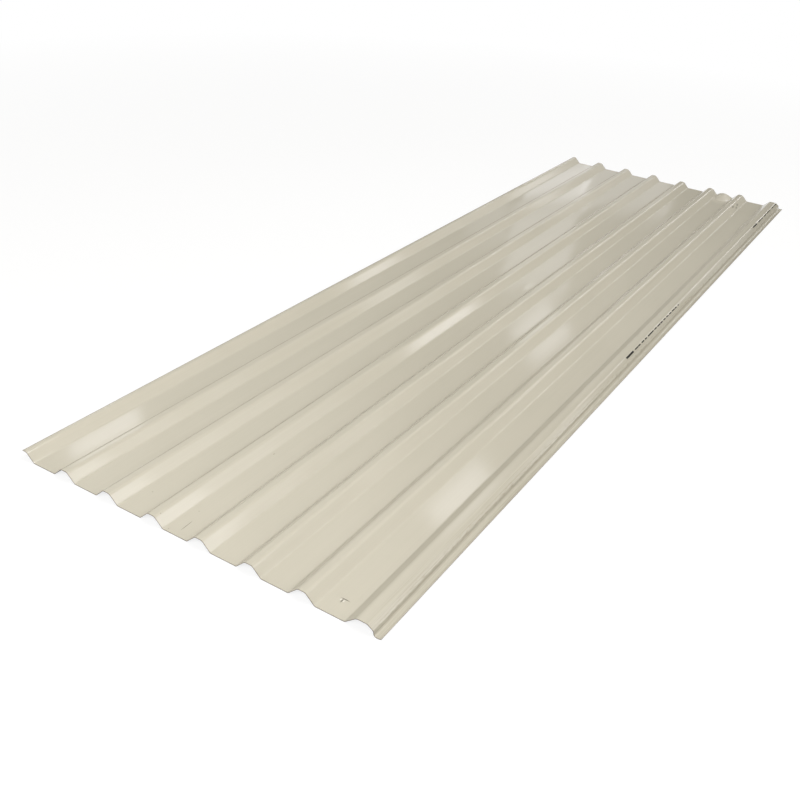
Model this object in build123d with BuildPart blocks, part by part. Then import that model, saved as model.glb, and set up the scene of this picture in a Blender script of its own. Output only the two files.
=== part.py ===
"""Corrugated sheet: one length of roll-formed, pre-painted steel with trapezoid ribs.

The sheet is made as a roll-forming line makes it. One strip of even thickness is bent
to a section, and the section runs unchanged from one sheared end to the other.
X runs across the sheet from the underlap edge to the overlap edge, Y runs along the
ribs and Z is up. The pans lie on Z = 0, and the origin is under the middle of the sheet.
All lengths are in millimetres.
"""

import os

from build123d import *

# Stock
sheet_length = 2440.0
sheet_thickness = 0.6

# Ribs that repeat across the sheet, measured on the underside
rib_count = 6
rib_pitch = 101.6
rib_height = 17.0
crown_width = 14.0
flank_run = 17.5
crown_bend_radius = 12.0
foot_bend_radius = 9.0

# Underlap edge: half a rib, cut off just past the middle of its crown
underlap_lip_width = 9.0

# Overlap edge: a wider rib that covers the next sheet's half rib
last_pan_width = 54.5
overlap_inner_run = 20.0
overlap_crown_width = 18.5
overlap_outer_run = 11.0
overlap_outer_drop = 7.5

# Crease below the overlap rib, and the lip that lies on the next sheet's first pan
crease_run = 1.7
crease_bend_radius = 1.5
lip_foot_radius = 5.0
lip_flat_width = 8.3
lip_tip_run = 4.5
lip_tip_rise = 1.6
lip_bend_radius = 3.0

pan_width = rib_pitch - crown_width - 2 * flank_run
overall_width = (
    underlap_lip_width + flank_run + pan_width
    + rib_count * (crown_width + 2 * flank_run)
    + (rib_count - 1) * pan_width
    + last_pan_width
    + overlap_inner_run + overlap_crown_width + overlap_outer_run
    + crease_run + lip_flat_width + lip_tip_run
)

# Each bend's radius on the underside: inside the crowns, outside the feet
crown_under_radius = crown_bend_radius
foot_under_radius = foot_bend_radius + sheet_thickness
crease_under_radius = crease_bend_radius
lip_foot_under_radius = lip_foot_radius + sheet_thickness
lip_under_radius = lip_bend_radius + sheet_thickness


def walk(start, steps):
    """Corners of a line that leaves start and follows each (across, up) step in turn."""
    corners = [start]
    for across, up in steps:
        x, z = corners[-1]
        corners.append((x + across, z + up))
    return corners


# The underside of the section, from the underlap edge to the tip of the overlap lip:
# each straight run, followed by the radius of the bend at its far end
underlap_runs = [
    ((underlap_lip_width, 0), crown_under_radius),
    ((flank_run, -rib_height), foot_under_radius),
    ((pan_width, 0), foot_under_radius),
]
rib_runs = [
    ((flank_run, rib_height), crown_under_radius),
    ((crown_width, 0), crown_under_radius),
    ((flank_run, -rib_height), foot_under_radius),
]
pan_run = [((pan_width, 0), foot_under_radius)]
last_pan_run = [((last_pan_width, 0), foot_under_radius)]
overlap_runs = [
    ((overlap_inner_run, rib_height), crown_under_radius),
    ((overlap_crown_width, 0), crown_under_radius),
    ((overlap_outer_run, -overlap_outer_drop), crease_under_radius),
    ((crease_run, overlap_outer_drop - rib_height), lip_foot_under_radius),
    ((lip_flat_width, 0), lip_under_radius),
]
lip_tip = (lip_tip_run, lip_tip_rise)

runs = underlap_runs + (rib_runs + pan_run) * (rib_count - 1) + rib_runs
runs += last_pan_run + overlap_runs
underside = walk(
    (-overall_width / 2, rib_height),
    [run for run, radius in runs] + [lip_tip],
)
bend_radii = [radius for run, radius in runs]

with BuildPart() as corrugated_sheet:
    with BuildSketch(Plane.XZ) as section:
        with BuildLine() as strip:
            FilletPolyline(*underside, radius=bend_radii)
            offset(amount=sheet_thickness, side=Side.LEFT)
        make_face()
    extrude(amount=sheet_length / 2, both=True)

corrugated_sheet.part.label = "corrugated_sheet"

os.makedirs("parts", exist_ok=True)
export_step(corrugated_sheet.part, "parts/corrugated_sheet.step")
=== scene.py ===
import math

import bpy
import numpy as np
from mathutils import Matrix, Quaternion, Vector


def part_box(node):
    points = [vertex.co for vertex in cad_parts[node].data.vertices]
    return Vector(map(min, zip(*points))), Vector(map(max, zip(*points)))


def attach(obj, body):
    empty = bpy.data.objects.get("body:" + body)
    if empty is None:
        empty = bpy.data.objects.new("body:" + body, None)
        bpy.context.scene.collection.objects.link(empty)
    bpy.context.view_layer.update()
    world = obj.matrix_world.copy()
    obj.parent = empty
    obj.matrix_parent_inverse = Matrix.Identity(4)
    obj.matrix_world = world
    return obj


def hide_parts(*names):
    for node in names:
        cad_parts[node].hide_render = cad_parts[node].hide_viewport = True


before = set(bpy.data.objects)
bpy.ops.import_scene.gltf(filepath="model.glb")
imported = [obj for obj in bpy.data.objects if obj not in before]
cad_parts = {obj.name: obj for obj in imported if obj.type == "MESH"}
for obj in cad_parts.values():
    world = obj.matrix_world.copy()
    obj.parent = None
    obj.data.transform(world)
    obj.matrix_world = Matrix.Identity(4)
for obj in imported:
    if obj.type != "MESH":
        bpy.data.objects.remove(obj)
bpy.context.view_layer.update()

# Corrugated sheet: one strip of zinc-coated steel, painted on the coil with a baked sand
# top coat and a thin grey backer, then bent by a row of rollers into trapezoid ribs.
# The section is the same all along, and the two ends are sheared across.
thickness = 0.0006
rib_count = 6
rib_pitch = 0.1016
rib_height = 0.017
crown_width = 0.014
flank_run = 0.0175
underlap_lip_width = 0.009
last_pan_width = 0.0545
overlap_inner_run = 0.020
overlap_crown_width = 0.0185
overlap_outer_run = 0.011
overlap_outer_drop = 0.0075
crease_run = 0.0017
lip_flat_width = 0.0083
lip_tip_run = 0.0045
lip_tip_rise = 0.0016
pan_width = rib_pitch - crown_width - 2 * flank_run

# Bend radii of the underside, which lies inside the crowns and the crease and outside the feet
crown_bend_radius = 0.009
foot_bend_radius = 0.005 + thickness
crease_bend_radius = 0.0015
lip_foot_radius = 0.005 + thickness
lip_bend_radius = 0.003 + thickness

sheet_low, sheet_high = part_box("corrugated_sheet")

# Each straight run of the section, with its steps and the radius of the bend after it
flank_steps = 3
crown_steps = 3
pan_steps = 10
last_pan_steps = 42
edge_steps = 3
arc_steps = 6
rib = [
    ((flank_run, rib_height), flank_steps, crown_bend_radius),
    ((crown_width, 0), crown_steps, crown_bend_radius),
    ((flank_run, -rib_height), flank_steps, foot_bend_radius),
]
pan = [((pan_width, 0), pan_steps, foot_bend_radius)]
section = [((underlap_lip_width, 0), crown_steps, crown_bend_radius)] + rib[2:] + pan
section += (rib + pan) * (rib_count - 1) + rib
section += [
    ((last_pan_width, 0), last_pan_steps, foot_bend_radius),
    ((overlap_inner_run, rib_height), flank_steps, crown_bend_radius),
    ((overlap_crown_width, 0), crown_steps, crown_bend_radius),
    ((overlap_outer_run, -overlap_outer_drop), flank_steps, crease_bend_radius),
    ((crease_run, overlap_outer_drop - rib_height), edge_steps, lip_foot_radius),
    ((lip_flat_width, 0), edge_steps, lip_bend_radius),
    ((lip_tip_run, lip_tip_rise), edge_steps, None),
]


def left_of(heading):
    """Unit vectors that point to the left of the given headings."""
    return np.stack([-np.sin(heading), np.cos(heading)], axis=-1)


def bent_strip(start, section, arc_steps):
    """Underside line of a strip that leaves start and follows the section's runs in turn.

    Each bend is an arc tangent to the runs beside it: its tangent length is the radius times
    the tangent of half the turn, and the heading turns evenly along it. The first and last
    steps of a straight run are short, which keeps its shading flat up to the bends. Gives the
    points, the heading at each and whether it lies within a bend, as arrays.
    """
    runs = np.array([run for run, steps, radius in section])
    lengths = np.linalg.norm(runs, axis=1)
    headings = np.arctan2(runs[:, 1], runs[:, 0])
    turns = np.diff(headings)
    radii = np.array([radius for run, steps, radius in section[:-1]])
    trims = np.concatenate([[0.0], radii * np.tan(np.abs(turns) / 2), [0.0]])
    corners = start + np.vstack([np.zeros(2), np.cumsum(runs, axis=0)])
    arc_shares = np.arange(1, arc_steps) / arc_steps
    inset_share = 0.04
    points, angles, in_bend = [], [], []
    for i, (run, steps, radius) in enumerate(section):
        inner_shares = np.linspace(inset_share, 1 - inset_share, steps - 1)
        shares = np.concatenate([[0.0], inner_shares, [1.0]])
        along = trims[i] + shares * (lengths[i] - trims[i] - trims[i + 1])
        points.append(corners[i] + along[:, None] * runs[i] / lengths[i])
        angles.append(np.full(steps + 1, headings[i]))
        in_bend.append(np.zeros(steps + 1))
        if radius:
            swing = np.sign(turns[i]) * radius
            centre = points[-1][-1] + swing * left_of(headings[i])
            angles.append(headings[i] + turns[i] * arc_shares)
            points.append(centre - swing * left_of(angles[-1]))
            in_bend.append(np.ones(arc_steps - 1))
    return np.vstack(points), np.concatenate(angles), np.concatenate(in_bend)


under_line, heading, in_bend = bent_strip(np.array([sheet_low.x, rib_height]), section, arc_steps)
top_line = under_line + thickness * left_of(heading)
steps_along_line = np.linalg.norm(np.diff(under_line, axis=0), axis=1)
developed = np.concatenate([[0.0], np.cumsum(steps_along_line)])

# A nick from a blow in the last pan, and a buckle at the far end of the pan before it
nick_junction = np.array([0.2850, -1.1808])
nick_bar_from, nick_bar_to = -0.0062, 0.0121
nick_stem_length = 0.0104
nick_half_width = 0.0011
nick_swell = 0.0009
nick_swell_reach = 0.009
buckle_pan = 5
buckle_height = 0.010
buckle_length = 0.12
buckle_skew = 0.85

# Rows across the sheet, closest together at the nick and close at the buckle
nick_zone = 0.012
row_counts = [6, 26, 76, 18]
row_stops = [
    sheet_low.y,
    nick_junction[1] - nick_stem_length / 2 - nick_zone,
    nick_junction[1] - nick_stem_length / 2 + nick_zone,
    sheet_high.y - buckle_length,
    sheet_high.y,
]
rows = np.concatenate([
    np.linspace(begin, end, count, endpoint=False)
    for begin, end, count in zip(row_stops[:-1], row_stops[1:], row_counts)] + [[sheet_high.y]])

# Long shallow waves in the pans, as thin sheet has after roll forming, a slight lean of two
# ribs, and a dent from below in the fourth pan
wave_seed = 11
pan_wave_height = 0.00012
pan_wave_count = 4
pan_wave_lengths = (0.35, 1.3)
rib_leans = np.array([0.0, -0.0004, 0.0, 0.0005, 0.0, 0.0])
dent_pan = 3
dent_place = np.array([-0.018, 0.094])
dent_reach = np.array([0.010, 0.028])
dent_height = 0.0007
first_pan = sheet_low.x + underlap_lip_width + flank_run
pan_starts = first_pan + rib_pitch * np.arange(rib_count + 1)
pan_widths = np.append(np.full(rib_count, pan_width), last_pan_width)


def wave_lift(shares, along):
    """Lift of the pans' waves: a mean of sines along the sheet, times a sine squared across each pan."""
    random = np.random.default_rng(wave_seed)
    wave_shape = (rib_count + 1, pan_wave_count, 1)
    lengths = random.uniform(*pan_wave_lengths, wave_shape)
    phases = random.uniform(0, 2 * np.pi, wave_shape)
    waves = 0.5 + 0.5 * np.sin(2 * np.pi * along / lengths + phases).mean(axis=1)
    return pan_wave_height * np.einsum("pr,pc->rc", waves, np.sin(np.pi * shares) ** 2)


def buckle_lift(share, along):
    """Lift of the buckle: a skewed half sine across its pan, times a smooth step squared to the far end."""
    rise = np.clip((along - sheet_high.y + buckle_length) / buckle_length, 0, 1)
    rise = (rise * rise * (3 - 2 * rise)) ** 2
    return buckle_height * rise[:, None] * np.sin(np.pi * share ** buckle_skew)


def dent_lift(share, across, along):
    """Lift of the dent: a bell curve both ways, within its pan."""
    x = (across[None, :] - dent_place[0]) / dent_reach[0]
    y = (along[:, None] - dent_place[1]) / dent_reach[1]
    return dent_height * np.exp(-(x ** 2 + y ** 2) / 2) * (share > 0) * (share < 1)


def nick_lift(share, across, along):
    """Lift of the nick: a round swelling, cut back by a bell curve of the distance to its T."""
    x = across[None, :] - nick_junction[0]
    y = along[:, None] - nick_junction[1]
    to_bar = np.hypot(x - np.clip(x, nick_bar_from, nick_bar_to), y)
    to_stem = np.hypot(x, y - np.clip(y, -nick_stem_length, 0))
    cut = np.exp(-(np.minimum(to_bar, to_stem) / nick_half_width) ** 2)
    swell = np.exp(-(x ** 2 + (y + nick_stem_length / 2) ** 2) / (2 * nick_swell_reach ** 2))
    return nick_swell * swell * (1 - cut) * (share > 0) * (share < 1)


def rib_lean(across, up):
    """Sideways lean of the ribs, each in proportion to the height on it."""
    nearest_rib = np.floor((across - first_pan - pan_width / 2) / rib_pitch).astype(int)
    on_rib = (nearest_rib >= 0) & (nearest_rib < rib_count)
    leans = np.where(on_rib, rib_leans[np.clip(nearest_rib, 0, rib_count - 1)], 0.0)
    return leans * up / rib_height


across_line, up_line = under_line.T
pan_shares = np.clip((across_line - pan_starts[:, None]) / pan_widths[:, None], 0, 1)
lean = rib_lean(across_line, up_line)
lift = wave_lift(pan_shares, rows)
lift += buckle_lift(pan_shares[buckle_pan], rows)
lift += dent_lift(pan_shares[dent_pan], across_line, rows)
lift += nick_lift(pan_shares[-1], across_line, rows)

# Places of the coats in the sheet's list of materials
top_coat, under_coat, cut_steel = range(3)


def shell_faces(row_count, loop_count, top_count):
    """Faces of a thin closed shell: the walls from row to row, then the near end and the far end.

    Loop point i on row j has the number j times loop_count plus i. A loop runs along the top
    face, which has its first top_count points, and back along the underside. Each end is a
    strip of faces between the top face and the underside.
    """
    index = np.arange(row_count * loop_count).reshape(row_count, loop_count)
    ahead = np.roll(index, -1, axis=1)
    walls = np.stack([index[:-1], ahead[:-1], ahead[1:], index[1:]], axis=-1).reshape(-1, 4)
    top = index[:, :top_count]
    under = index[:, :top_count - 1:-1]
    near = np.stack([under[0, :-1], under[0, 1:], top[0, 1:], top[0, :-1]], axis=-1)
    far = np.stack([top[-1, :-1], top[-1, 1:], under[-1, 1:], under[-1, :-1]], axis=-1)
    return np.vstack([walls, near, far])


def face_coats(face_count, row_count, loop_count, top_count):
    """Coat of each face: the top face's, the underside's, and cut steel at both edges and both ends."""
    loop_coats = np.full(loop_count, top_coat, np.int32)
    loop_coats[top_count:] = under_coat
    loop_coats[[top_count - 1, loop_count - 1]] = cut_steel
    coats = np.full(face_count, cut_steel, np.int32)
    coats[:(row_count - 1) * loop_count] = np.tile(loop_coats, row_count - 1)
    return coats


def sharp_edges(mesh, row_count, loop_count, top_count):
    """Which of the mesh's edges are sharp: those around both ends, and the four that run along it."""
    ends = np.empty(2 * len(mesh.edges), np.int32)
    mesh.edges.foreach_get("vertices", ends)
    row, column = np.divmod(ends.reshape(-1, 2), loop_count)
    around_end = ((row == 0) | (row == row_count - 1)).all(axis=1)
    at_corner = np.isin(column[:, 0], [0, top_count - 1, top_count, loop_count - 1])
    return around_end | (at_corner & (column[:, 0] == column[:, 1]))


def sheet_object(name, loop_across, loop_up, loop_developed, loop_bend, rows, top_count):
    """The section's loop carried along the rows as a closed shell.

    It also holds each point's place on the flat strip, as a map, and whether it lies in a bend.
    """
    row_count, loop_count = loop_up.shape
    points = np.empty((row_count, loop_count, 3))
    points[..., 0] = loop_across
    points[..., 1] = rows[:, None]
    points[..., 2] = loop_up
    faces = shell_faces(row_count, loop_count, top_count)
    mesh = bpy.data.meshes.new(name)
    mesh.vertices.add(points.size // 3)
    mesh.vertices.foreach_set("co", points.ravel())
    mesh.loops.add(faces.size)
    mesh.loops.foreach_set("vertex_index", faces.ravel())
    mesh.polygons.add(len(faces))
    mesh.polygons.foreach_set("loop_start", np.arange(0, faces.size, 4))
    mesh.update(calc_edges=True)
    flat_map = mesh.uv_layers.new(name="developed")
    place = np.stack([np.tile(loop_developed, row_count), np.repeat(rows, loop_count)], axis=-1)
    flat_map.uv.foreach_set("vector", place[faces.ravel()].ravel())
    bend = mesh.attributes.new("bend", "FLOAT", "POINT")
    bend.data.foreach_set("value", np.tile(loop_bend, row_count))
    sharp = mesh.attributes.new("sharp_edge", "BOOLEAN", "EDGE")
    sharp.data.foreach_set("value", sharp_edges(mesh, row_count, loop_count, top_count))
    coats = face_coats(len(faces), row_count, loop_count, top_count)
    mesh.polygons.foreach_set("material_index", coats)
    mesh.polygons.foreach_set("use_smooth", np.ones(len(faces), bool))
    mesh.validate()
    made = bpy.data.objects.new(name, mesh)
    bpy.context.scene.collection.objects.link(made)
    return made


def there_and_back(over, under):
    """One loop of the section: along the top face, then back along the underside."""
    return np.concatenate([over, under[..., ::-1]], axis=-1)


sheet = sheet_object(
    "coated_sheet",
    there_and_back(top_line[:, 0] + lean, under_line[:, 0] + lean),
    there_and_back(top_line[:, 1] + lift, under_line[:, 1] + lift),
    there_and_back(developed, developed), there_and_back(in_bend, in_bend), rows, len(top_line))


def feed(tree, socket, value):
    """Links a socket to the output given, or sets it to the plain value given."""
    if isinstance(value, bpy.types.NodeSocket):
        tree.links.new(value, socket)
    else:
        socket.default_value = value


def maths(tree, operation, *values):
    """One sum on numbers."""
    made = tree.nodes.new("ShaderNodeMath")
    made.operation = operation
    for socket, value in zip(made.inputs, values):
        feed(tree, socket, value)
    return made.outputs[0]


def times(tree, a, b):
    """The product of two numbers."""
    return maths(tree, "MULTIPLY", a, b)


def ramped(tree, value, low, high, out_low, out_high):
    """The value carried from the range low to high onto the range out_low to out_high."""
    made = tree.nodes.new("ShaderNodeMapRange")
    for socket, number in zip(made.inputs, (value, low, high, out_low, out_high)):
        feed(tree, socket, number)
    return made.outputs[0]


def mixed(tree, share, a, b):
    """Colour a, gone over to colour b by the share."""
    share_socket, a_socket, b_socket, colour_socket = 0, 6, 7, 2
    made = tree.nodes.new("ShaderNodeMix")
    made.data_type = "RGBA"
    feed(tree, made.inputs[share_socket], share)
    feed(tree, made.inputs[a_socket], a)
    feed(tree, made.inputs[b_socket], b)
    return made.outputs[colour_socket]


# Most of the noise lies in this range
noise_span = (0.3, 0.7)


def grain(tree, coords, per_metre, detail):
    """Cloudy noise from 0 to 1, with about the given number of clouds per metre each way."""
    local = tree.nodes.new("ShaderNodeMapping")
    tree.links.new(coords, local.inputs["Vector"])
    local.inputs["Scale"].default_value = per_metre
    made = tree.nodes.new("ShaderNodeTexNoise")
    tree.links.new(local.outputs[0], made.inputs["Vector"])
    made.inputs["Scale"].default_value = 1.0
    made.inputs["Detail"].default_value = detail
    return made.outputs["Fac"]


def spots(tree, coords, ovals, soft_share=0.5):
    """Share covered by soft ovals seen from above, each (x, y, half width, half length, turn).

    An oval's own coordinates are its centre taken off, its turn undone and its half sizes
    divided out, so that its rim lies at length 1, and the share fades inside that rim.
    """
    half_depth = 100.0
    covered = 0.0
    for x, y, half_width, half_length, turn in ovals:
        local = tree.nodes.new("ShaderNodeMapping")
        local.vector_type = "TEXTURE"
        tree.links.new(coords, local.inputs["Vector"])
        local.inputs["Location"].default_value = (x, y, 0.0)
        local.inputs["Rotation"].default_value = (0.0, 0.0, math.radians(turn))
        local.inputs["Scale"].default_value = (half_width, half_length, half_depth)
        length = tree.nodes.new("ShaderNodeVectorMath")
        length.operation = "LENGTH"
        tree.links.new(local.outputs[0], length.inputs[0])
        oval = ramped(tree, length.outputs["Value"], 1.0, 1.0 - soft_share, 0.0, 1.0)
        covered = maths(tree, "MAXIMUM", oval, covered)
    return covered


def new_coat(name):
    """A material, with its node tree, its shader and the coordinates of the sheet."""
    made = bpy.data.materials.new(name)
    made.use_nodes = True
    tree = made.node_tree
    where = tree.nodes.new("ShaderNodeTexCoord").outputs["Object"]
    return made, tree, tree.nodes["Principled BSDF"], where


def sand_ground(tree, where, streaks):
    """Colour of the plain coat: two close sand tones, mixed by faint clouds and the streaks."""
    sand_pale = (0.506, 0.474, 0.396, 1.0)
    sand_deep = (0.475, 0.446, 0.369, 1.0)
    cloud_share = 0.6
    streak_share = 0.4
    clouds = grain(tree, where, per_metre=(7.0, 3.0, 7.0), detail=3.0)
    tone = maths(tree, "ADD", times(tree, clouds, cloud_share), times(tree, streaks, streak_share))
    return mixed(tree, ramped(tree, tone, *noise_span, 0.0, 1.0), sand_deep, sand_pale)


def edge_dirt_and_shade(tree, colour, on_strip, along, from_tip):
    """Dirt and painted shade on the overlap edge, which workers lift the sheet by and other sheets are
    stacked on.

    It is a grey of painted shade that deepens to the far end, dark rubbed lines, and brown stains along the
    crease.
    """
    # The grey is painted shade over the lip, the crease and the outer flank, deepest at the far end.
    overlap_shade_grey = (0.40, 0.375, 0.305, 1.0)
    overlap_shade_from_tip = (0.045, 0.030)
    overlap_shade_shares = (0.25, 0.75)
    on_edge = ramped(tree, from_tip, *overlap_shade_from_tip, 0.0, 1.0)
    overlap_shade_along = ramped(tree, along, sheet_low.y, sheet_high.y, *overlap_shade_shares)
    colour = mixed(tree, times(tree, on_edge, overlap_shade_along), colour, overlap_shade_grey)

    stain_brown = (0.27, 0.235, 0.175, 1.0)
    rubbed_span = (0.50, 0.66)
    rubbed_share = 0.32
    lines = grain(tree, on_strip, per_metre=(700.0, 3.0, 1.0), detail=2.0)
    rubbed = ramped(tree, lines, *rubbed_span, 0.0, rubbed_share)
    colour = mixed(tree, times(tree, on_edge, rubbed), colour, stain_brown)

    crease_from_tip = 0.0215
    stain_reach = 0.009
    stain_span = (0.48, 0.68)
    stain_share = 0.45
    from_crease = maths(tree, "ABSOLUTE", maths(tree, "SUBTRACT", from_tip, crease_from_tip))
    near_crease = ramped(tree, from_crease, 0.0, stain_reach, 1.0, 0.0)
    patches = grain(tree, on_strip, per_metre=(420.0, 60.0, 1.0), detail=4.0)
    stains = ramped(tree, patches, *stain_span, 0.0, stain_share)
    return mixed(tree, times(tree, near_crease, stains), colour, stain_brown)


scuff_black = (0.06, 0.058, 0.05, 1.0)


def handling_marks(tree, colour, where):
    """A rubbed black scuff on the last full rib, specks of soil, and a scratch at the near end.

    Gives the marked colour and the shares that the scuff and the scratch cover.
    """
    scuff_ovals = [
        (0.2490, 1.130, 0.0034, 0.011, 0),
        (0.2530, 1.108, 0.0020, 0.013, 5),
        (0.2460, 1.088, 0.0024, 0.013, 0),
    ]
    scuff_soft_share = 0.8
    broken_span = (0.35, 0.6)
    broken_shares = (0.5, 1.0)
    scuffs = spots(tree, where, scuff_ovals, scuff_soft_share)
    flakes = grain(tree, where, per_metre=(300.0, 120.0, 300.0), detail=2.0)
    broken = ramped(tree, flakes, *broken_span, *broken_shares)
    colour = mixed(tree, times(tree, scuffs, broken), colour, scuff_black)

    mark_grey = (0.22, 0.205, 0.17, 1.0)
    speck_ovals = [
        (-0.0387, -1.2135, 0.0012, 0.0016, 0),
        (-0.0620, -1.2060, 0.0010, 0.0014, 0),
        (-0.1298, -1.1567, 0.0012, 0.0018, 0),
        (-0.0309, -1.1499, 0.0011, 0.0016, 0),
        (-0.0395, -0.9408, 0.0014, 0.0030, 0),
    ]
    speck_share = 0.55
    specks = spots(tree, where, speck_ovals)
    colour = mixed(tree, times(tree, specks, speck_share), colour, mark_grey)

    scratch_ovals = [(-0.0209, -1.1903, 0.0008, 0.0170, 2.2)]
    scratch_soft_share = 0.35
    scratch_share = 0.85
    scratch = spots(tree, where, scratch_ovals, scratch_soft_share)
    colour = mixed(tree, times(tree, scratch, scratch_share), colour, mark_grey)
    return colour, scuffs, scratch


def nick_marks(tree, colour, where):
    """The nick's coat: pale painted highlights on both sides of the stem, and a dark break along the T."""
    # The pale ovals beside the stem are painted highlights of its raised lips.
    painted_glint_pale = (0.80, 0.79, 0.74, 1.0)
    x, y = nick_junction
    glint_ovals = [
        (x - 0.0026, y - 0.0042, 0.0013, 0.0027, -14),
        (x + 0.0030, y - 0.0048, 0.0014, 0.0031, 12),
    ]
    glint_soft_share = 0.7
    glint_share = 0.8
    glints = spots(tree, where, glint_ovals, glint_soft_share)
    colour = mixed(tree, times(tree, glints, glint_share), colour, painted_glint_pale)

    bar_middle = (nick_bar_from + nick_bar_to) / 2
    bar_half = (nick_bar_to - nick_bar_from) / 2
    break_ovals = [
        (x + bar_middle, y, bar_half, nick_half_width, 0),
        (x, y - nick_stem_length / 2, nick_half_width, nick_stem_length / 2, 0),
    ]
    break_share = 0.85
    broken = spots(tree, where, break_ovals)
    return mixed(tree, times(tree, broken, break_share), colour, scuff_black)


def ink_dashes(tree, on_strip, across, along):
    """Share covered by plain ink dashes, in rows on the outer flank of the overlap rib.

    Each row has its start and end along the sheet, the pitch of its dashes and its width. A
    dash fills its pitch by a share that noise makes uneven along the sheet.
    """
    ink_from_tip = 0.0320
    ink_rows = [
        (-0.181, -0.136, 0.060, 0.0046),
        (-0.126, 0.190, 0.022, 0.0027),
        (0.920, 0.972, 0.060, 0.0040),
        (0.985, 1.215, 0.034, 0.0026),
    ]
    dash_shares = (0.40, 1.10)
    uneven = grain(tree, on_strip, per_metre=(0.0, 31.0, 0.0), detail=1.0)
    dash_share = ramped(tree, uneven, *noise_span, *dash_shares)
    ink = 0.0
    for begin, end, pitch, width in ink_rows:
        in_width = maths(tree, "COMPARE", across, developed[-1] - ink_from_tip, width / 2)
        in_length = maths(tree, "COMPARE", along, (begin + end) / 2, (end - begin) / 2)
        pitches = maths(tree, "DIVIDE", maths(tree, "SUBTRACT", along, begin), pitch)
        dash = maths(tree, "LESS_THAN", maths(tree, "FRACT", pitches), dash_share)
        row = times(tree, times(tree, in_width, in_length), dash)
        ink = maths(tree, "MAXIMUM", row, ink)
    return ink


def outline_shade_hairline(tree, colour, across, along):
    """A brown hairline of painted shade at both sheared ends and the slit underlap edge, which darkens the
    outline.
    """
    # The hairline is painted shade that darkens the sheet's outline.
    outline_shade_brown = (0.16, 0.135, 0.105, 1.0)
    hairline = 0.0009
    outline_shade_share = 0.8
    from_middle = maths(tree, "ABSOLUTE", along)
    sheared = maths(tree, "GREATER_THAN", from_middle, sheet_high.y - hairline)
    slit = maths(tree, "LESS_THAN", across, hairline)
    outline_shade = maths(tree, "MAXIMUM", sheared, slit)
    return mixed(tree, times(tree, outline_shade, outline_shade_share), colour, outline_shade_brown)


def coat_roughness(tree, where, streaks, scuffs, ink):
    """Semi-gloss, duller along the streaks, the scuffs and the crazed buckle, and matt where inked."""
    gloss_roughness = 0.06
    streak_roughness = 0.05
    scuff_roughness = 0.3
    ink_roughness = 0.85
    crazed_roughness = 0.35
    crazed_ovals = [(0.1835, 1.20, 0.040, 0.070, 0)]
    crazed_soft_share = 0.6
    rough = maths(tree, "ADD", gloss_roughness, times(tree, streaks, streak_roughness))
    scuffed = times(tree, scuffs, scuff_roughness)
    dulled = maths(tree, "MAXIMUM", scuffed, times(tree, ink, ink_roughness))
    crazed = spots(tree, where, crazed_ovals, crazed_soft_share)
    dulled = maths(tree, "MAXIMUM", dulled, times(tree, crazed, crazed_roughness))
    return maths(tree, "ADD", rough, dulled)


def coat_relief(tree, on_strip, streaks, scratch):
    """Normal of the relief: orange peel, roller lines that are strongest on the bends, and the scratch."""
    peel_height = 0.5
    line_heights = (0.4, 2.0)
    scratch_depth = 4.0
    relief_strength = 0.5
    relief_unit = 0.000012
    bend = tree.nodes.new("ShaderNodeAttribute")
    bend.attribute_name = "bend"
    peel = grain(tree, on_strip, per_metre=(330.0, 330.0, 1.0), detail=2.0)
    roller_lines = times(tree, streaks, ramped(tree, bend.outputs["Fac"], 0.0, 1.0, *line_heights))
    relief = maths(tree, "ADD", times(tree, peel, peel_height), roller_lines)
    relief = maths(tree, "SUBTRACT", relief, times(tree, scratch, scratch_depth))
    bump = tree.nodes.new("ShaderNodeBump")
    bump.inputs["Strength"].default_value = relief_strength
    bump.inputs["Distance"].default_value = relief_unit
    tree.links.new(relief, bump.inputs["Height"])
    return bump.outputs[0]


def coil_coat():
    """Baked sand top coat, streaked by the coating roll, with marks from handling and storage, painted
    shade on the overlap edge and the outline, and painted highlights at the nick.
    """
    ink_black = (0.016, 0.014, 0.011, 1.0)
    made, tree, shader, where = new_coat("coil_coat")
    flat_map = tree.nodes.new("ShaderNodeUVMap")
    flat_map.uv_map = "developed"
    on_strip = flat_map.outputs[0]
    parts = tree.nodes.new("ShaderNodeSeparateXYZ")
    tree.links.new(on_strip, parts.inputs[0])
    across, along = parts.outputs["X"], parts.outputs["Y"]
    from_tip = maths(tree, "SUBTRACT", developed[-1], across)
    streaks = grain(tree, on_strip, per_metre=(420.0, 1.6, 1.0), detail=3.0)

    colour = sand_ground(tree, where, streaks)
    colour = edge_dirt_and_shade(tree, colour, on_strip, along, from_tip)
    colour, scuffs, scratch = handling_marks(tree, colour, where)
    colour = nick_marks(tree, colour, where)
    ink = ink_dashes(tree, on_strip, across, along)
    colour = mixed(tree, ink, colour, ink_black)
    colour = outline_shade_hairline(tree, colour, across, along)
    tree.links.new(colour, shader.inputs["Base Color"])
    tree.links.new(coat_roughness(tree, where, streaks, scuffs, ink), shader.inputs["Roughness"])
    tree.links.new(coat_relief(tree, on_strip, streaks, scratch), shader.inputs["Normal"])
    return made


def backer_coat():
    """Thin grey wash coat on the underside, clouded, with the zinc's grain showing through."""
    wash_pale = (0.46, 0.45, 0.42, 1.0)
    wash_deep = (0.36, 0.355, 0.335, 1.0)
    wash_roughnesses = (0.38, 0.52)
    cloud_share = 0.65
    spangle_share = 0.35
    made, tree, shader, where = new_coat("backer_coat")
    clouds = grain(tree, where, per_metre=(18.0, 5.0, 18.0), detail=4.0)
    spangle = grain(tree, where, per_metre=(160.0, 90.0, 160.0), detail=1.0)
    tone = maths(tree, "ADD", times(tree, clouds, cloud_share), times(tree, spangle, spangle_share))
    tone = ramped(tree, tone, *noise_span, 0.0, 1.0)
    tree.links.new(mixed(tree, tone, wash_deep, wash_pale), shader.inputs["Base Color"])
    tree.links.new(ramped(tree, spangle, *noise_span, *wash_roughnesses), shader.inputs["Roughness"])
    return made


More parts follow.
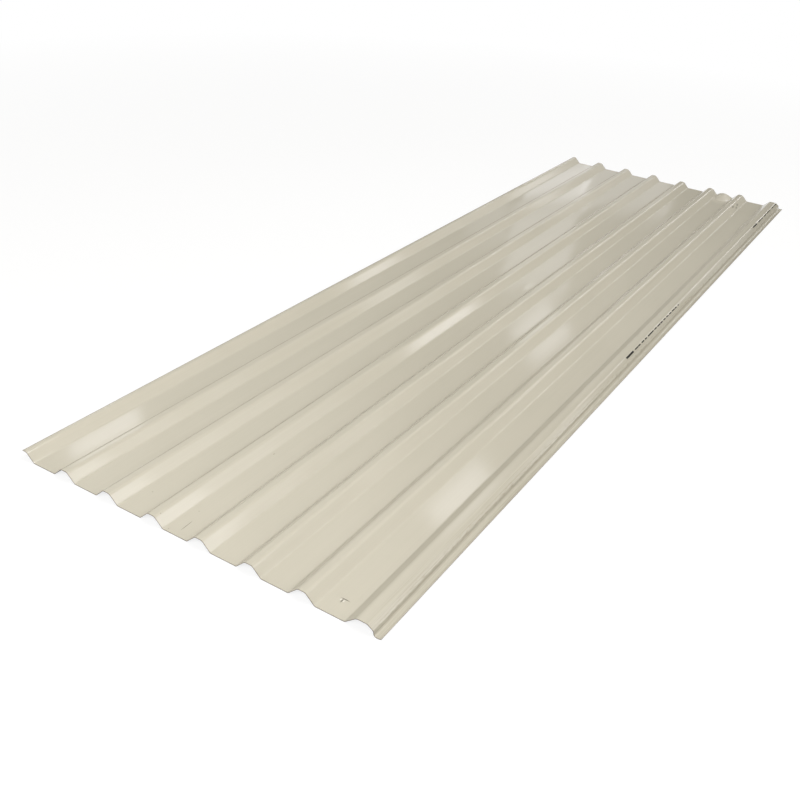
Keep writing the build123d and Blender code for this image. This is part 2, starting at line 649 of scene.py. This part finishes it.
def shaded_bare_edge():
    """Steel core left bare by the shear, with the drag lines of the blade, and dark brown as painted shade
    of the cut face.
    """
    # Both browns are painted shade, so that the lit cut face renders dark.
    shaded_steel_pale = (0.15, 0.135, 0.115, 1.0)
    shaded_steel_brown = (0.075, 0.06, 0.045, 1.0)
    steel_metallic = 0.3
    steel_roughness = 0.55
    drag_span = (0.35, 0.65)
    made, tree, shader, where = new_coat("shaded_bare_edge")
    drag_lines = grain(tree, where, per_metre=(60.0, 60.0, 900.0), detail=3.0)
    tone = ramped(tree, drag_lines, *drag_span, 0.0, 1.0)
    tree.links.new(mixed(tree, tone, shaded_steel_brown, shaded_steel_pale), shader.inputs["Base Color"])
    shader.inputs["Metallic"].default_value = steel_metallic
    shader.inputs["Roughness"].default_value = steel_roughness
    return made


for coat in (coil_coat(), backer_coat(), shaded_bare_edge()):
    sheet.data.materials.append(coat)
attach(sheet, "root")
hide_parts("corrugated_sheet")

# Floor: a matt white board, far larger than the sheet, which lies level on it. It looks plain
# white, keeps a soft shadow near the sheet and throws little light back up under its edges.
floor_half = 20.0
floor_gap = 0.0003
floor_mesh = bpy.data.meshes.new("floor")
floor_mesh.from_pydata(
    [(x * floor_half, y * floor_half, -floor_gap) for x, y in ((-1, -1), (1, -1), (1, 1), (-1, 1))],
    [], [(0, 1, 2, 3)])
floor = bpy.data.objects.new("floor", floor_mesh)
bpy.context.scene.collection.objects.link(floor)


def white_board():
    """White to the eye and in mirrors, and dark to the light that falls on it otherwise.

    Where it is seen, a plain glow covers most of its shading, and all of it away from the sheet.
    """
    board_white = (0.92, 0.92, 0.92, 1.0)
    board_bounce = (0.14, 0.14, 0.14, 1.0)
    shadow_reach = (1.3, 3.5)
    glow_shares = (0.80, 1.0)
    made = bpy.data.materials.new("floor_white")
    made.use_nodes = True
    tree = made.node_tree
    tree.nodes.clear()
    rays = tree.nodes.new("ShaderNodeLightPath").outputs
    seen = maths(tree, "ADD", rays["Is Camera Ray"], rays["Is Glossy Ray"])
    seen = maths(tree, "MINIMUM", maths(tree, "ADD", seen, rays["Is Transmission Ray"]), 1.0)
    reach = tree.nodes.new("ShaderNodeVectorMath")
    reach.operation = "LENGTH"
    tree.links.new(tree.nodes.new("ShaderNodeTexCoord").outputs["Object"], reach.inputs[0])
    glow_share = ramped(tree, reach.outputs["Value"], *shadow_reach, *glow_shares)
    matt = tree.nodes.new("ShaderNodeBsdfDiffuse")
    tree.links.new(mixed(tree, seen, board_bounce, board_white), matt.inputs["Color"])
    glow = tree.nodes.new("ShaderNodeEmission")
    mix = tree.nodes.new("ShaderNodeMixShader")
    tree.links.new(times(tree, seen, glow_share), mix.inputs["Fac"])
    tree.links.new(matt.outputs[0], mix.inputs[1])
    tree.links.new(glow.outputs[0], mix.inputs[2])
    out = tree.nodes.new("ShaderNodeOutputMaterial")
    tree.links.new(mix.outputs[0], out.inputs["Surface"])
    return made


floor_mesh.materials.append(white_board())

# Room: a pale dado along the foot of the walls, a darker band above it, and grey above that,
# with a dark doorway that the pans on the right mirror. Each tone of the walls has its height
# as the sine of the elevation.
room_tones = [(0.0, 0.55), (0.10, 0.55), (0.24, 0.14), (0.60, 0.50), (0.80, 0.30), (1.0, 0.30)]
room_tint = np.array([1.03, 1.0, 0.90])
doorway_azimuth, doorway_elevation = -24.0, 31.5
doorway_radii = (10.0, 4.0)
doorway_share = 0.05


def way_to(azimuth, elevation):
    """Unit vector at an azimuth turned from +Y toward +X, and an elevation, in degrees."""
    az, el = math.radians(azimuth), math.radians(elevation)
    return Vector((math.sin(az) * math.cos(el), math.cos(az) * math.cos(el), math.sin(el)))


world = bpy.data.worlds.new("room")
bpy.context.scene.world = world
world.use_nodes = True
tree = world.node_tree
tree.nodes.clear()
looking = tree.nodes.new("ShaderNodeTexCoord").outputs["Generated"]
parts = tree.nodes.new("ShaderNodeSeparateXYZ")
tree.links.new(looking, parts.inputs[0])
ramp = tree.nodes.new("ShaderNodeValToRGB")
tree.links.new(parts.outputs["Z"], ramp.inputs["Fac"])
stops = ramp.color_ramp.elements
stops.remove(stops[1])
stops[0].position = room_tones[0][0]
stops[0].color = (*(room_tones[0][1] * room_tint), 1.0)
for place, tone in room_tones[1:]:
    stops.new(place).color = (*(tone * room_tint), 1.0)
doorway = tree.nodes.new("ShaderNodeVectorMath")
doorway.operation = "DOT_PRODUCT"
tree.links.new(looking, doorway.inputs[0])
doorway.inputs[1].default_value = way_to(doorway_azimuth, doorway_elevation)
rim_cosine, inner_cosine = [math.cos(math.radians(radius)) for radius in doorway_radii]
lit_share = ramped(tree, doorway.outputs["Value"], rim_cosine, inner_cosine, 1.0, doorway_share)
walls = tree.nodes.new("ShaderNodeBackground")
tree.links.new(ramp.outputs["Color"], walls.inputs["Color"])
tree.links.new(lit_share, walls.inputs["Strength"])
out = tree.nodes.new("ShaderNodeOutputWorld")
tree.links.new(walls.outputs[0], out.inputs["Surface"])

# Lamps: cloth softboxes on stands. Four near ones light the coat all over, and far off stand
# narrow strips, each where some pans, flanks or bends mirror it toward the camera.

# Each near lamp's name, azimuth, elevation, distance, width, height, radiance and aim
near_lamps = [
    ("key", 168, 40, 3.0, 2.4, 2.4, 5.75, (0, -1.2, 0)),
    ("fill", 95, 37, 6.0, 2.4, 2.4, 5.05, (0, 0, 0)),
    ("left", -110, 50, 3.0, 1.2, 1.2, 1.0, (-0.33, 0.4, 0)),
    ("top", 105, 68.8, 4.29, 1.4, 1.4, 10.2, (0, 1.0, 0)),
]
strip_distance = 16.0
strip_tint = (1.0, 1.0, 1.05)

# Each strip's name, azimuth, elevation, width and height in degrees, radiance, aim and turn
far_strips = [
    ("left_pan_strip", -21.6, 16.6, 4.4, 3.2, 1.3, (-0.3, 0.9, 0), 0),
    ("first_pan_strip", -25.6, 19.2, 2.8, 3.6, 0.35, (-0.3245, 0.5, 0), 0),
    ("middle_pan_strip", -22, 21.0, 4.4, 5.6, 0.7, (-0.1, 0.35, 0), 0),
    ("right_pan_strip", -21.1, 25.6, 3.2, 3.4, 1.4, (0.13, -0.15, 0), 48),
    ("far_wall", -17, 16.5, 6.0, 3.6, 0.6, (-0.2, 1.0, 0), 0),
    ("last_pan_box", -25.1, 35.7, 4.8, 2.2, 2.3, (0.295, -0.84, 0), 51),
    ("first_pan_box", -49.9, 32.2, 4.8, 1.8, 2.7, (-0.3245, -1.08, 0), 24),
    ("flank_box", 28.1, 25.4, 5.2, 2.4, 3.3, (-0.055, -0.3, 0), -39),
    ("left_flank_box", 25.8, 30.2, 3.6, 2.0, 3.0, (-0.36, -0.13, 0), -46),
    ("left_flank_strip", 21.2, 25.8, 5.6, 2.0, 0.6, (-0.36, 0.37, 0), -49),
    ("second_flank_box", 26.7, 28.8, 4.4, 1.6, 1.3, (-0.258, -0.2, 0), -44),
    ("far_flank_box", 18.0, 22.3, 3.2, 2.6, 2.0, (-0.36, 0.8, 0), 0),
    ("far_flank_strip", 16.5, 18.5, 5.0, 6.0, 0.4, (-0.1, 1.0, 0), 0),
    ("end_strip", 47.5, 37, 5.0, 12.0, 3.3, (-0.1, -1.2, 0), 0),
    ("end_fade_strip", 42.5, 35, 5.0, 12.0, 1.1, (-0.1, -1.0, 0), 0),
    ("mid_fade_strip", 37.5, 32, 5.0, 12.0, 0.7, (-0.1, -0.85, 0), 0),
    ("bend_strip", 0, 25.5, 2.0, 23.0, 7.0, (0, 0, 0), 0),
]


def softbox(name, azimuth, elevation, distance, width, height, radiance, aim, turn=0, tint=(1, 1, 1)):
    """A rectangular lamp in the given direction from aim, which it faces, turned clockwise as seen."""
    lamp = bpy.data.lights.new(name, "AREA")
    lamp.shape = "RECTANGLE"
    lamp.size, lamp.size_y = width, height
    lamp.energy = radiance * math.pi * width * height
    lamp.color = tint
    made = bpy.data.objects.new(name, lamp)
    way = way_to(azimuth, elevation)
    made.location = Vector(aim) + distance * way
    facing = way.to_track_quat("Z", "Y")
    made.rotation_euler = (facing @ Quaternion((0, 0, 1), math.radians(turn))).to_euler()
    made.visible_camera = False
    bpy.context.scene.collection.objects.link(made)


def light_strip(name, azimuth, elevation, wide, tall, radiance, aim, turn):
    """A far softbox, sized by the angles in degrees that it spans as seen from aim."""
    width = 2 * strip_distance * math.tan(math.radians(wide / 2))
    height = 2 * strip_distance * math.tan(math.radians(tall / 2))
    softbox(name, azimuth, elevation, strip_distance, width, height, radiance, aim, turn, strip_tint)


for near_lamp in near_lamps:
    softbox(*near_lamp)
for far_strip in far_strips:
    light_strip(*far_strip)

# Camera: a normal lens held by hand about a metre up, a little turned. It stands beyond the
# near right corner and looks down along the sheet.
camera_place = Vector((0.8814, -2.0946, 0.9940))
camera_target = Vector((0.0382, -0.6303, 0.0))
camera_roll = math.radians(4.40)
camera_lens = 43.3
sensor_width = 36.0
lens = bpy.data.cameras.new("camera")
lens.sensor_width = sensor_width
lens.lens = camera_lens
camera = bpy.data.objects.new("camera", lens)
camera.location = camera_place
aim = (camera_target - camera_place).to_track_quat("-Z", "Y")
camera.rotation_euler = (aim @ Quaternion((0, 0, 1), camera_roll)).to_euler()
bpy.context.scene.collection.objects.link(camera)
bpy.context.scene.camera = camera

bpy.context.scene.view_settings.view_transform = "Standard"
